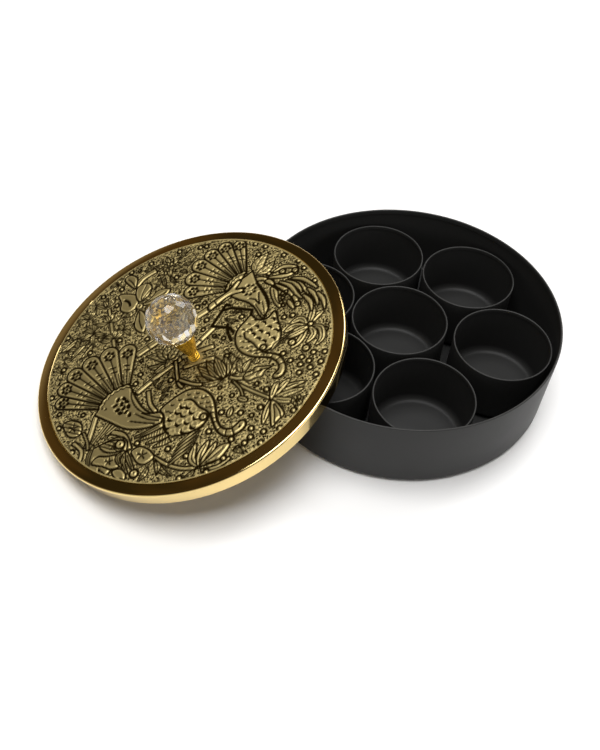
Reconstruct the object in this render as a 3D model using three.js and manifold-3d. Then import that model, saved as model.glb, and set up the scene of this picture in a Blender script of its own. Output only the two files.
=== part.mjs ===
// Round spice box: an open pressed tin, seven loose cups inside it, and a lid that has been taken off.
// The lid stands on its edge beside the tin and leans on the tin's rim, with an embossed sheet on top and a
// cut crystal ball for a knob. Millimetres, +Z up, origin at the middle of the tin's base, lid towards -X.
import * as THREE from "three";
import { ConvexHull } from "three/addons/math/ConvexHull.js";
import { mergeVertices } from "three/addons/utils/BufferGeometryUtils.js";
import Module from "manifold-3d";

// The tin
const BOX_DIAMETER = 200;
const BOX_HEIGHT = 52.3;
const BOX_SHEET = 0.8;
const BOX_CORNER = 3.5;
const BOX_HEM = 1.4;
const BOX_HEM_DEPTH = 3;

// The cups, which stay this far below the tin's rim, at least this near to each other and to the wall, and
// have this much play from the middle of the tin to its wall
const CUP_SHEET = 0.6;
const CUP_CORNER = 5.5;
const CUP_HEM = 1.1;
const CUP_HEM_DEPTH = 2.2;
const CUP_BELOW_RIM = 11.1;
const CUP_NEAREST = 0.6;
const CUP_PLAY = 3;

// How the cups have slid about. A ring cup's share of the play is 0 beside a centred middle cup and 1 by the
// tin's wall. The gaps that follow the ring cups share the spare turn. The middle cup's share is 1 where it
// meets the third and fourth ring cups.
const FIRST_CUP_TURN = 28.6;
const CUP_OUT_SHARES = [0.21, 0.29, 0.96, 1, 0.84, 0.59];
const CUP_SLACK_SHARES = [0.06, 0.12, 0, 0.1, 0.66, 0.06];
const CENTRE_CUP_SHARE = 0.78;

// The lid pan
const LID_SHEET = 0.7;
const LID_SLIP_GAP = 0.6;
const LID_DEPTH = 10.6;
const LID_BEAD_RADIUS = 1.3;
const LID_BEAD_PROUD = 0.9;
const LID_INNER_CORNER = 0.8;
const LID_RECESS = 0.5;
const LID_LEAN = 17.7;

// The embossed sheet
const PLATE_DIAMETER = 190.6;
const PLATE_SHEET = 0.5;
const PLATE_EDGE = 0.2;
const PLATE_SIDE_GAP = 0.3;

// Where the knob stands on the lid: a little off the middle, up the slope and towards the front
const KNOB_UP_SLOPE = 4.6;
const KNOB_ACROSS = -9.6;

// The knob's metal ferrule, as radii and heights above its own foot
const FOOT_RADIUS = 3.6;
const FOOT_HEIGHT = 1.1;
const NECK_RADIUS = 2.9;
const NECK_HEIGHT = 1.7;
const RING_RADIUS = 0.7;
const RING_HEIGHTS = [2.7, 4.4];
const CONE_WAIST_RADIUS = 3.3;
const CONE_START_HEIGHT = 5.4;
const CONE_BELLY_RADIUS = 6.2;
const LIP_RADIUS = 7.6;
const LIP_THICKNESS = 0.8;
const LIP_HEIGHT = 22.6;

// The crystal ball: rows of flat facets round it, with a small flat at each end
const BALL_DIAMETER = 31;
const BALL_FACETS_ROUND = 16;
const BALL_ROW_TILTS = [22, 41.5, 61, 80.3, 99.7, 119, 138.5, 158];
const BALL_END_FLAT = 0.97;

// The screw that holds the knob from below, and its washer
const SCREW_RADIUS = 1.5;
const SCREW_HOLE_GAP = 0.3;
const SCREW_REACH = 9;
const SCREW_TIP = 0.5;
const SCREW_HEAD_RADIUS = 3;
const SCREW_HEAD_HEIGHT = 1.9;
const SCREW_CROSS_LENGTH = 3.6;
const SCREW_CROSS_WIDTH = 0.8;
const SCREW_CROSS_DEPTH = 1.1;
const BORE_SPARE_DEPTH = 1.2;
const WASHER_RADIUS = 4.5;
const WASHER_SHEET = 0.8;

// Pieces that rest on each other are held this far apart
const SEAT_GAP = 0.3;

// Steps round each spun piece, and along a rounded corner or a hem in a vessel's profile
const LARGE_STEPS = 64;
const CUP_STEPS = 32;
const KNOB_STEPS = 24;
const CORNER_STEPS = 3;
const HEM_STEPS = 4;

const finishes = {
  blackCoat: new THREE.MeshStandardMaterial({ color: 0x2b2b2a, roughness: 0.55, metalness: 0.2 }),
  goldPlate: new THREE.MeshStandardMaterial({ color: 0xc9b071, roughness: 0.15, metalness: 1 }),
  antiqueGold: new THREE.MeshStandardMaterial({ color: 0x9a8a52, roughness: 0.4, metalness: 0.9 }),
  brightGold: new THREE.MeshStandardMaterial({ color: 0xd79a2b, roughness: 0.12, metalness: 1 }),
  crystal: new THREE.MeshStandardMaterial({ color: 0xf2f0ea, roughness: 0.02, metalness: 0 }),
  zincSteel: new THREE.MeshStandardMaterial({ color: 0xa9abad, roughness: 0.35, metalness: 1 }),
};

const radians = THREE.MathUtils.degToRad;

function point(radius, height) {
  return new THREE.Vector2(radius, height);
}

// Points on an arc in a profile, both ends included. Angles are in degrees, 0 outward and 90 up.
function arc(centre, radius, from, to, steps) {
  return Array.from({ length: steps + 1 }, (_, i) => {
    const angle = radians(from + ((to - from) * i) / steps);
    return point(centre.x + radius * Math.cos(angle), centre.y + radius * Math.sin(angle));
  });
}

// A profile of radius and height, turned about the Z axis
function spun(profile, steps) {
  return new THREE.LatheGeometry(profile, steps).rotateX(Math.PI / 2);
}

// A spun piece with a hole through the middle closes its profile on itself
function spunRing(profile, steps) {
  return spun([...profile, profile[0]], steps);
}

const wasm = await Module();
wasm.setup();

function toSolid(geometry) {
  const bare = geometry.clone();
  bare.deleteAttribute("normal");
  bare.deleteAttribute("uv");
  const merged = mergeVertices(bare, 1e-4);
  const mesh = new wasm.Mesh({
    numProp: 3,
    vertProperties: new Float32Array(merged.attributes.position.array),
    triVerts: new Uint32Array(merged.index.array),
  });
  return new wasm.Manifold(mesh);
}

function toGeometry(solid) {
  const mesh = solid.getMesh();
  const geometry = new THREE.BufferGeometry();
  geometry.setAttribute("position", new THREE.Float32BufferAttribute(mesh.vertProperties, 3));
  geometry.setIndex([...mesh.triVerts]);
  geometry.computeVertexNormals();
  return geometry;
}

function piece(name, geometry, material) {
  const mesh = new THREE.Mesh(geometry, material);
  mesh.name = name;
  return mesh;
}

// A pressed round vessel: flat base, rounded corner, straight wall and a hem folded inwards at the rim
function vesselProfile({ radius, height, sheet, corner, hem, hemDepth }) {
  const cornerCentre = point(radius - corner, corner);
  const rimCentre = point(radius - hem / 2, height - hem / 2);
  return [
    point(0, 0),
    ...arc(cornerCentre, corner, -90, 0, CORNER_STEPS),
    ...arc(rimCentre, hem / 2, 0, 180, HEM_STEPS),
    point(radius - hem, height - hemDepth),
    point(radius - sheet, height - hemDepth - (hem - sheet)),
    ...arc(cornerCentre, corner - sheet, 0, -90, CORNER_STEPS),
    point(0, sheet),
  ];
}

const boxRadius = BOX_DIAMETER / 2;

function boxShell() {
  const profile = vesselProfile({
    radius: boxRadius,
    height: BOX_HEIGHT,
    sheet: BOX_SHEET,
    corner: BOX_CORNER,
    hem: BOX_HEM,
    hemDepth: BOX_HEM_DEPTH,
  });
  return piece("box_shell", spun(profile, LARGE_STEPS), finishes.blackCoat);
}

// Half the middle cup, a ring cup, the gaps beside it and the play span the tin's inside from its middle
const insideRadius = boxRadius - BOX_HEM;
const cupRadius = (insideRadius - 2 * CUP_NEAREST - CUP_PLAY) / 3;
const cupSpacing = 2 * cupRadius + CUP_NEAREST;

// The ring cups' places, each no nearer to the next than the spacing
function ringCupPlaces() {
  const out = CUP_OUT_SHARES.map((share) => cupSpacing + share * CUP_PLAY);
  const nearestTurns = out.map((one, i) => {
    const next = out[(i + 1) % out.length];
    return Math.acos((one ** 2 + next ** 2 - cupSpacing ** 2) / (2 * one * next));
  });
  const slack = 2 * Math.PI - nearestTurns.reduce((sum, turn) => sum + turn);
  let turn = radians(FIRST_CUP_TURN);
  return out.map((radius, i) => {
    const place = new THREE.Vector3(radius * Math.cos(turn), radius * Math.sin(turn), 0);
    turn += nearestTurns[i] + CUP_SLACK_SHARES[i] * slack;
    return place;
  });
}

// The middle cup's place once it has slid to meet two ring cups
function meetingPlace(one, other) {
  const between = one.clone().add(other).divideScalar(2);
  const halfApart = one.distanceTo(other) / 2;
  return between.setLength(between.length() - Math.sqrt(cupSpacing ** 2 - halfApart ** 2));
}

function cups() {
  const profile = vesselProfile({
    radius: cupRadius,
    height: BOX_HEIGHT - CUP_BELOW_RIM - BOX_SHEET - SEAT_GAP,
    sheet: CUP_SHEET,
    corner: CUP_CORNER,
    hem: CUP_HEM,
    hemDepth: CUP_HEM_DEPTH,
  });
  const geometry = spun(profile, CUP_STEPS);
  const group = new THREE.Group();
  group.position.z = BOX_SHEET + SEAT_GAP;
  const places = ringCupPlaces();
  places.forEach((place, i) => {
    const cup = piece(`ring_cup_${i + 1}`, geometry, finishes.blackCoat);
    cup.position.copy(place);
    group.add(cup);
  });
  const centreCup = piece("centre_cup", geometry, finishes.blackCoat);
  centreCup.position.copy(meetingPlace(places[2], places[3])).multiplyScalar(CENTRE_CUP_SHARE);
  group.add(centreCup);
  return group;
}

// The lid's own frame has its origin on the axis, level with the top of its rim band
const skirtInside = boxRadius + LID_SLIP_GAP;
const skirtOutside = skirtInside + LID_SHEET;
const lidRadius = skirtOutside + LID_BEAD_PROUD;
const screwHole = SCREW_RADIUS + SCREW_HOLE_GAP;
const panUnderside = -LID_RECESS - LID_SHEET;
const plateUnderside = -LID_RECESS + SEAT_GAP;
const plateTop = plateUnderside + PLATE_SHEET;

// The knob's hole, cut through a spun piece where the knob stands
function withKnobHole(geometry) {
  const drill = new THREE.CylinderGeometry(screwHole, screwHole, 2 * LID_DEPTH, KNOB_STEPS);
  drill.rotateX(Math.PI / 2).translate(KNOB_UP_SLOPE, KNOB_ACROSS, 0);
  return toGeometry(toSolid(geometry).subtract(toSolid(drill)));
}

// A shallow recess for the embossed sheet, a mirror-bright band, a rolled bead and a straight skirt
function lidShell() {
  const beadCentre = point(lidRadius - LID_BEAD_RADIUS, -LID_BEAD_RADIUS);
  const beadStart = THREE.MathUtils.radToDeg(-Math.acos((skirtOutside - beadCentre.x) / LID_BEAD_RADIUS));
  const cornerCentre = point(skirtInside - LID_INNER_CORNER, -LID_SHEET - LID_INNER_CORNER);
  const edgeCentre = point(skirtInside + LID_SHEET / 2, -LID_DEPTH + LID_SHEET / 2);
  const recessRadius = PLATE_DIAMETER / 2 + PLATE_SIDE_GAP;
  const profile = [
    point(0, panUnderside),
    point(recessRadius + LID_SHEET, panUnderside),
    point(recessRadius + LID_SHEET, -LID_SHEET),
    ...arc(cornerCentre, LID_INNER_CORNER, 90, 0, 3),
    ...arc(edgeCentre, LID_SHEET / 2, 180, 360, 4),
    ...arc(beadCentre, LID_BEAD_RADIUS, beadStart, 90, 7),
    point(recessRadius, 0),
    point(recessRadius, -LID_RECESS),
    point(0, -LID_RECESS),
  ];
  return piece("lid_shell", withKnobHole(spun(profile, LARGE_STEPS)), finishes.goldPlate);
}

function embossedPlate() {
  const edge = PLATE_DIAMETER / 2;
  const profile = [
    point(0, 0),
    point(edge, 0),
    point(edge, PLATE_SHEET - PLATE_EDGE),
    point(edge - PLATE_EDGE, PLATE_SHEET),
    point(0, PLATE_SHEET),
  ];
  const plate = piece("embossed_plate", withKnobHole(spun(profile, LARGE_STEPS)), finishes.antiqueGold);
  plate.position.z = plateUnderside;
  return plate;
}

// The ball rests in a round seat in the ferrule's lip, with the seat gap between them
const seatRadius = BALL_DIAMETER / 2 + SEAT_GAP;
const seatMouth = LIP_RADIUS - LIP_THICKNESS;
const ballAboveFoot = LIP_HEIGHT + Math.sqrt(seatRadius ** 2 - seatMouth ** 2);
const seatMouthTurn = THREE.MathUtils.radToDeg(Math.asin(seatMouth / seatRadius));
const footHeight = plateTop + SEAT_GAP;

// Foot, neck, rings and a trumpet cone that opens to the lip, with a blind hole below for the screw
function knobFerrule() {
  const cone = new THREE.QuadraticBezierCurve(
    point(CONE_WAIST_RADIUS, CONE_START_HEIGHT),
    point(CONE_BELLY_RADIUS, (CONE_START_HEIGHT + LIP_HEIGHT) / 2),
    point(LIP_RADIUS, LIP_HEIGHT - LIP_THICKNESS),
  );
  const lipCentre = point(LIP_RADIUS - LIP_THICKNESS / 2, LIP_HEIGHT - LIP_THICKNESS / 2);
  const profile = [
    point(0, SCREW_REACH + BORE_SPARE_DEPTH),
    point(screwHole, SCREW_REACH + BORE_SPARE_DEPTH),
    point(screwHole, 0),
    point(FOOT_RADIUS, 0),
    ...arc(point(FOOT_RADIUS - FOOT_HEIGHT / 2, FOOT_HEIGHT / 2), FOOT_HEIGHT / 2, 0, 90, 3),
    point(NECK_RADIUS, NECK_HEIGHT),
    ...RING_HEIGHTS.flatMap((height) => arc(point(NECK_RADIUS, height), RING_RADIUS, -90, 90, 4)),
    ...cone.getPoints(6),
    ...arc(lipCentre, LIP_THICKNESS / 2, 0, 90, 3),
    ...arc(point(0, ballAboveFoot), seatRadius, -90 + seatMouthTurn, -90, 4),
  ];
  const ferrule = piece("knob_ferrule", spun(profile, KNOB_STEPS), finishes.brightGold);
  ferrule.position.z = footHeight;
  return ferrule;
}

// Flat cuts all round a ball. Each cut is a direction with a distance, and the hull of the points at one
// over the distance along each direction says which three cuts meet at each corner of the ball.
function cutBall(cuts) {
  const toCut = new Map(cuts.map((cut) => [cut.direction.clone().divideScalar(cut.distance), cut]));
  const corners = new Map(cuts.map((cut) => [cut, []]));
  for (const face of new ConvexHull().setFromPoints([...toCut.keys()]).faces) {
    const corner = face.normal.clone().divideScalar(face.normal.dot(face.edge.head().point));
    let edge = face.edge;
    do {
      corners.get(toCut.get(edge.head().point)).push(corner);
      edge = edge.next;
    } while (edge !== face.edge);
  }
  const reach = Math.max(...[...corners.values()].flat().map((corner) => corner.length()));
  const positions = [];
  for (const [cut, around] of corners) {
    const facet = sortedAbout(cut.direction, around);
    for (let i = 1; i + 1 < facet.length; i++) {
      for (const corner of [facet[0], facet[i], facet[i + 1]]) {
        positions.push(...corner.clone().divideScalar(reach).toArray());
      }
    }
  }
  return new THREE.BufferGeometry().setAttribute("position", new THREE.Float32BufferAttribute(positions, 3));
}

// The corners of one facet in order round its outward direction
function sortedAbout(direction, corners) {
  const helper = Math.abs(direction.z) < 0.9 ? new THREE.Vector3(0, 0, 1) : new THREE.Vector3(1, 0, 0);
  const across = helper.cross(direction).normalize();
  const along = direction.clone().cross(across);
  const angle = (corner) => Math.atan2(corner.dot(along), corner.dot(across));
  return [...corners].sort((a, b) => angle(a) - angle(b));
}

function crystalBall() {
  const ends = [1, -1].map((side) => ({ direction: new THREE.Vector3(0, 0, side), distance: BALL_END_FLAT }));
  const rows = BALL_ROW_TILTS.flatMap((tilt, row) =>
    Array.from({ length: BALL_FACETS_ROUND }, (_, i) => {
      const turn = ((i + (row % 2) / 2) * 2 * Math.PI) / BALL_FACETS_ROUND;
      return { direction: new THREE.Vector3().setFromSphericalCoords(1, radians(tilt), turn), distance: 1 };
    }),
  );
  for (const cut of rows) {
    cut.direction.applyAxisAngle(new THREE.Vector3(1, 0, 0), Math.PI / 2);
  }
  const geometry = cutBall([...ends, ...rows]).scale(BALL_DIAMETER / 2, BALL_DIAMETER / 2, BALL_DIAMETER / 2);
  geometry.computeVertexNormals();
  const ball = piece("crystal_ball", geometry, finishes.crystal);
  ball.position.z = footHeight + ballAboveFoot;
  return ball;
}

function knobWasher() {
  const profile = [
    point(screwHole, 0),
    point(WASHER_RADIUS, 0),
    point(WASHER_RADIUS, WASHER_SHEET),
    point(screwHole, WASHER_SHEET),
  ];
  const washer = piece("knob_washer", spunRing(profile, KNOB_STEPS), finishes.zincSteel);
  washer.position.z = panUnderside - SEAT_GAP - WASHER_SHEET;
  return washer;
}

// A pan-head screw with its head down, and a cross recess in the head
function knobScrew() {
  const headTop = panUnderside - SEAT_GAP - WASHER_SHEET - SEAT_GAP;
  const headBottom = headTop - SCREW_HEAD_HEIGHT;
  const tip = footHeight + SCREW_REACH;
  const round = SCREW_HEAD_HEIGHT / 2;
  const profile = [
    point(0, headBottom),
    ...arc(point(SCREW_HEAD_RADIUS - round, headBottom + round), round, -90, 0, 4),
    point(SCREW_HEAD_RADIUS, headTop),
    point(SCREW_RADIUS, headTop),
    point(SCREW_RADIUS, tip - SCREW_TIP),
    point(SCREW_RADIUS - SCREW_TIP, tip),
    point(0, tip),
  ];
  let solid = toSolid(spun(profile, KNOB_STEPS));
  for (const turn of [0, Math.PI / 2]) {
    const slot = new THREE.BoxGeometry(SCREW_CROSS_LENGTH, SCREW_CROSS_WIDTH, 2 * SCREW_CROSS_DEPTH);
    solid = solid.subtract(toSolid(slot.rotateZ(turn).translate(0, 0, headBottom)));
  }
  return piece("knob_screw", toGeometry(solid), finishes.zincSteel);
}

// The lid stands on the lowest edge of its skirt and leans on the tin's rim. What touches the rim first as
// the lid comes nearer holds it off: the pan's underside, or the skirt where its edge crosses over the rim.
function lid() {
  const lean = radians(LID_LEAN);
  const edgeRound = LID_SHEET / 2;
  const skirtRadius = skirtInside + edgeRound;
  const height = skirtRadius * Math.sin(lean) + (LID_DEPTH - edgeRound) * Math.cos(lean) + edgeRound;
  const underRim = -panUnderside + SEAT_GAP + (BOX_HEIGHT - height) * Math.cos(lean);
  const undersideMeets = boxRadius + underRim / Math.sin(lean);
  const edgeRise = BOX_HEIGHT + SEAT_GAP - height + LID_DEPTH * Math.cos(lean);
  const crossing = Math.acos(Math.min(edgeRise / (skirtRadius * Math.sin(lean)), 1));
  const crossingAlong = skirtRadius * Math.cos(crossing) * Math.cos(lean) + LID_DEPTH * Math.sin(lean);
  const rimAlong = Math.sqrt(Math.max(boxRadius ** 2 - (skirtRadius * Math.sin(crossing)) ** 2, 0));
  const group = new THREE.Group();
  group.position.set(-Math.max(undersideMeets, crossingAlong + rimAlong), 0, height);
  group.rotation.y = -lean;
  const knob = new THREE.Group();
  knob.position.set(KNOB_UP_SLOPE, KNOB_ACROSS, 0);
  knob.add(knobFerrule(), crystalBall(), knobScrew(), knobWasher());
  group.add(lidShell(), embossedPlate(), knob);
  return group;
}

const spiceBox = new THREE.Group();
spiceBox.add(boxShell(), cups(), lid());

export default spiceBox;
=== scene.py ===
"""Dresses the spice box: a satin black tin with loose cups, and a gold lid that leans on the tin's rim.

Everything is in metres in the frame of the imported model, apart from the sheet's pattern, which is drawn in
millimetres on the flat sheet.
"""

import math

import bpy
import numpy as np
from bpy.props import FloatProperty, FloatVectorProperty, IntProperty, PointerProperty
from bpy.types import Operator, Panel, PropertyGroup
from mathutils import Matrix, Vector


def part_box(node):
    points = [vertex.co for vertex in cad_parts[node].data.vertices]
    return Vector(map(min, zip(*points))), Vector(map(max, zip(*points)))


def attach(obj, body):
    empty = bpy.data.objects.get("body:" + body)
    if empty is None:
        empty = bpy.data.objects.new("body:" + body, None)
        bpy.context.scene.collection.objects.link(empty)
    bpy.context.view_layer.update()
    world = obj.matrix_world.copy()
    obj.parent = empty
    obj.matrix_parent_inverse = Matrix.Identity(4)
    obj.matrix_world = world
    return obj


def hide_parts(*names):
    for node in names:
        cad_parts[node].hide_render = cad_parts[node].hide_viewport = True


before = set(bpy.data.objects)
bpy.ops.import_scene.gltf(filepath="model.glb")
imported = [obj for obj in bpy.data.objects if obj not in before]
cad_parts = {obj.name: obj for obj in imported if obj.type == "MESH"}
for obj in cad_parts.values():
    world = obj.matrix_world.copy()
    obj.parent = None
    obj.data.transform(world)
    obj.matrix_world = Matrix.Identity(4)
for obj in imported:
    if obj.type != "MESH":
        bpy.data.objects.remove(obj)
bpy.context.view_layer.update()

bl_info = {
    "name": "Spice box",
    "version": (1, 0, 0),
    "blender": (4, 5, 0),
    "location": "3D View > Sidebar > Spice box",
    "description": "Builds a round spice tin with loose cups and an embossed lid with a crystal knob",
    "category": "Add Mesh",
}

MM = 0.001
SEAT_GAP = 0.3 * MM


def size_of(node):
    low, high = (Vector(corner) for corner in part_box(node))
    return high - low


def middle_of(node):
    low, high = (Vector(corner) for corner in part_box(node))
    return (low + high) / 2


def length(name, description, default):
    return FloatProperty(
        name=name, description=description, default=default, min=0, unit="LENGTH", precision=5
    )


def power(name, description, default):
    return FloatProperty(name=name, description=description, default=default, min=0, unit="POWER")


def colour(name, description, default):
    return FloatVectorProperty(
        name=name, description=description, default=default, subtype="COLOR", size=3, min=0, max=1
    )


class TinSettings(PropertyGroup):
    radius: length("Radius", "Outer radius of the tin", size_of("box_shell").x / 2)
    height: length("Height", "Height of the tin", size_of("box_shell").z)
    sheet: length("Sheet", "Thickness of the tin's metal", 0.8 * MM)
    corner: length("Corner", "Outer radius of the rounded corner at the base", 3.5 * MM)
    hem: length("Hem", "Thickness of the hem folded inwards at the rim", 1.4 * MM)
    hem_depth: length("Hem depth", "How far the hem reaches down", 3 * MM)
    coat: colour("Coat", "Colour of the powder coat", (0.0215, 0.0215, 0.021))
    # Lighter coat on the hem's top: partly wear, partly a painted highlight.
    wear_and_highlight: colour("Worn coat", "Colour of the coat where edges are rubbed", (0.036, 0.036, 0.035))


class CupSettings(PropertyGroup):
    radius: length("Radius", "Outer radius of each cup", size_of("centre_cup").x / 2)
    height: length("Height", "Height of each cup", size_of("centre_cup").z)
    sheet: length("Sheet", "Thickness of the cups' metal", 0.6 * MM)
    corner: length("Corner", "Outer radius of the rounded corner at the base", 5.5 * MM)
    hem: length("Hem", "Thickness of the hem folded inwards at the rim", 1.1 * MM)
    hem_depth: length("Hem depth", "How far the hem reaches down", 2.2 * MM)


class LidSettings(PropertyGroup):
    lean: FloatProperty(
        name="Lean",
        description="How far the lid leans from flat",
        default=math.radians(17.7),
        subtype="ANGLE",
    )
    skirt_inside: length("Inside", "Inner radius of the skirt", 100.6 * MM)
    sheet: length("Sheet", "Thickness of the lid's metal", 0.7 * MM)
    depth: length("Depth", "Depth of the skirt below the rim band", 10.6 * MM)
    bead: length("Bead", "Radius of the rolled bead at the edge", 1.3 * MM)
    proud: length("Bead stands out", "How far the bead stands out from the skirt", 0.9 * MM)
    corner: length("Inner corner", "Radius of the corner inside the bead", 0.8 * MM)
    recess: length("Recess", "Depth of the recess for the sheet", 0.5 * MM)
    bevel: length("Bevel", "Bevel on the edge of the recess", 0.3 * MM)
    gold: colour("Gold", "Colour of the polished plating", (0.93, 0.71, 0.31))


class SheetSettings(PropertyGroup):
    radius: length("Radius", "Radius of the embossed sheet", 94.3 * MM)
    thickness: length("Thickness", "Thickness of the sheet before embossing", 0.5 * MM)
    relief: length("Relief", "Height of the figures above the grooves", 0.7 * MM)
    cells: IntProperty(
        name="Cells", description="Cells across the sheet in each direction", default=306, min=50, max=700
    )
    raised: colour("Raised", "Colour of the rubbed, raised parts", (0.57, 0.455, 0.19))
    sunken: colour("Sunken", "Colour of the dark patina in the grooves", (0.016, 0.009, 0.001))


class KnobSettings(PropertyGroup):
    up_slope: length("Up the slope", "How far the knob stands up the slope from the lid's middle", 4.6 * MM)
    towards_front: length("Towards the front", "How far the knob stands in front of the middle", 9.6 * MM)
    bore: length("Bore", "Radius of the hole for the screw", 1.8 * MM)
    bore_depth: length("Bore depth", "Depth of the hole for the screw", 10.2 * MM)
    foot: length("Foot", "Radius of the foot", 3.6 * MM)
    foot_height: length("Foot height", "Height of the foot", 1.1 * MM)
    neck: length("Neck", "Radius of the neck between the rings", 2.9 * MM)
    ring: length("Ring", "How far each ring stands out from the neck", 0.7 * MM)
    first_ring: length("First ring", "Height of the first ring above the sheet", 2.7 * MM)
    ring_pitch: length("Ring pitch", "Distance between the rings", 1.7 * MM)
    waist: length("Waist", "Radius where the cone starts", 3.3 * MM)
    waist_height: length("Waist height", "Height above the sheet where the cone starts", 5.4 * MM)
    belly: length("Belly", "Radius that the cone's curve is drawn towards", 6.2 * MM)
    lip: length("Lip", "Outer radius of the lip under the ball", 7.6 * MM)
    lip_height: length("Lip height", "Height of the lip above the sheet", 22.6 * MM)
    lip_sheet: length("Lip thickness", "Thickness of the lip", 0.8 * MM)
    washer: length("Washer", "Thickness of the washer", 0.8 * MM)
    gold: colour("Gold", "Colour of the polished ferrule", (1.0, 0.62, 0.07))
    crystal: colour("Crystal", "Tint of the crystal", (0.995, 0.99, 0.98))
    # The darker, warm and cool facet tints are painted reflection in the crystal.
    painted_dark_facets: colour("Smoke", "Tint of the darker facets", (0.74, 0.68, 0.56))
    painted_warm_facets: colour("Amber", "Tint of the warm facets", (1.0, 0.72, 0.25))
    painted_cool_facets: colour("Violet", "Tint of the cool facets", (0.92, 0.9, 1.0))
    zinc: colour("Zinc", "Colour of the zinc plating on the screw", (0.6, 0.61, 0.62))


class StageSettings(PropertyGroup):
    floor: colour("Floor", "Colour of the floor", (0.93, 0.93, 0.93))
    floor_size: length("Floor size", "Side of the floor", 12.0)
    camera_at: FloatVectorProperty(
        name="Camera",
        description="Where the camera stands",
        default=(-0.15734, -0.34278, 0.41319),
        unit="LENGTH",
    )
    lens: FloatProperty(name="Lens", description="Focal length in millimetres", default=38.409, min=1)
    key: power("Key light", "Power of the light behind on the right", 12.5)
    fill: power("Fill light", "Power of the light on the right in front", 1)
    top: power("Top light", "Power of the light overhead", 39)
    wall: colour("Wall", "Colour of the studio above the horizon", (0.027, 0.02, 0.009))
    beam: colour("Beams", "Colour of the warmer places on the wall", (0.07, 0.042, 0.015))
    front: colour("Front", "Colour of the studio low down in front", (0.6, 0.6, 0.59))
    back: colour("Back", "Colour of the studio low down at the back", (0.2, 0.16, 0.11))


# Materials


class Reading:
    """A value in a material that can be added, multiplied and so on."""

    def __init__(self, finish, socket):
        self.finish = finish
        self.socket = socket

    def maths(self, operation, *values):
        return self.finish.add("ShaderNodeMath", {"operation": operation}, dict(enumerate(values)))

    def __add__(self, other):
        return self.maths("ADD", self, other)

    def __sub__(self, other):
        return self.maths("SUBTRACT", self, other)

    def __rsub__(self, other):
        return self.maths("SUBTRACT", other, self)

    def __mul__(self, other):
        return self.maths("MULTIPLY", self, other)

    __radd__ = __add__
    __rmul__ = __mul__


class Finish:
    """A shader in the making, for a material or for the world."""

    def __init__(self, owner):
        owner.use_nodes = True
        self.owner = owner
        self.tree = owner.node_tree
        self.tree.nodes.clear()

    def add(self, kind, settings=(), sockets=(), output=0):
        """Adds a node: its settings or its ramp's stops first, then the values or links of its sockets."""
        node = self.tree.nodes.new(kind)
        for name, value in dict(settings).items():
            if name == "stops":
                for stop, (place, level) in zip(ramp_stops(node, len(value)), value):
                    stop.position = place
                    stop.color = (level, level, level, 1)
            else:
                setattr(node, name, value)
        for name, value in dict(sockets).items():
            if isinstance(value, Reading):
                self.tree.links.new(value.socket, node.inputs[name])
            else:
                node.inputs[name].default_value = value
        return Reading(self, node.outputs[output]) if node.outputs else None

    def blend(self, factor, one, other):
        """One colour where the factor is 0, the other where it is 1."""
        settings = {"data_type": "RGBA", "clamp_factor": True}
        return self.add("ShaderNodeMix", settings, {0: factor, 6: shade(one), 7: shade(other)}, output=2)

    def ramp(self, value, *stops):
        return self.add("ShaderNodeValToRGB", {"stops": stops}, {"Fac": value})

    def noise(self, scale, detail, roughness=0.5, place=None):
        sockets = {"Scale": scale, "Detail": detail, "Roughness": roughness, "Vector": place or self.place()}
        return self.add("ShaderNodeTexNoise", {}, sockets)

    def grains(self, scale):
        """Distance to the nearest of many scattered points."""
        return self.add("ShaderNodeTexVoronoi", {}, {"Scale": scale, "Vector": self.place()})

    def place(self):
        """The point on the piece, in metres."""
        return self.add("ShaderNodeTexCoord", {}, {}, output="Object")

    def facing(self):
        """The direction that a flat facet faces."""
        return self.add("ShaderNodeNewGeometry", {}, {}, output="True Normal")

    def reading(self, name):
        """A value kept on the piece's points."""
        return self.add("ShaderNodeAttribute", {"attribute_name": name}, {}, output="Fac")

    def bump(self, height, distance, strength):
        return self.add("ShaderNodeBump", {}, {"Height": height, "Distance": distance, "Strength": strength})

    def surface(self, **sockets):
        """The finished surface. Names of sockets have _ for a space."""
        named = {name.replace("_", " "): value for name, value in sockets.items()}
        shader = self.add("ShaderNodeBsdfPrincipled", {}, named)
        self.add("ShaderNodeOutputMaterial", {}, {"Surface": shader})
        return self.owner


def new_finish(name):
    return Finish(bpy.data.materials.new(name))


def ramp_stops(node, count):
    """The stops of a colour ramp, with as many as asked."""
    stops = node.color_ramp.elements
    while len(stops) < count:
        stops.new(1.0)
    return stops


def shade(value):
    """A tint with its alpha, or a reading as it is."""
    return value if isinstance(value, Reading) else (*value, 1)


def toned(tint, share):
    """A tint made darker, or lighter where the share is over 1."""
    return [channel * share for channel in tint]


def powder_coat(name, coat, wear_and_highlight):
    """Satin black powder coat: a fine orange-peel skin, faint scuffs, and edges painted lighter, partly as
    rubbed wear and partly as a painted highlight along the top of the hem.
    """
    finish = new_finish(name)
    peel = finish.noise(1400, 2)
    scuffs = finish.noise(55, 6, 0.7)
    patches = finish.noise(9, 3)
    # The lighter colour on the hem's top is partly wear and partly a painted highlight where light catches
    # the hem.
    brighten = finish.reading("edge") * finish.ramp(scuffs, (0.3, 0.35), (0.6, 1.0))
    return finish.surface(
        Base_Color=finish.blend(brighten, finish.blend(patches, coat, toned(coat, 1.25)), wear_and_highlight),
        Roughness=0.36 + 0.1 * patches + 0.1 * scuffs,
        Specular_IOR_Level=0.22,
        Normal=finish.bump(peel, 0.00003, 0.4),
    )


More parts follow.
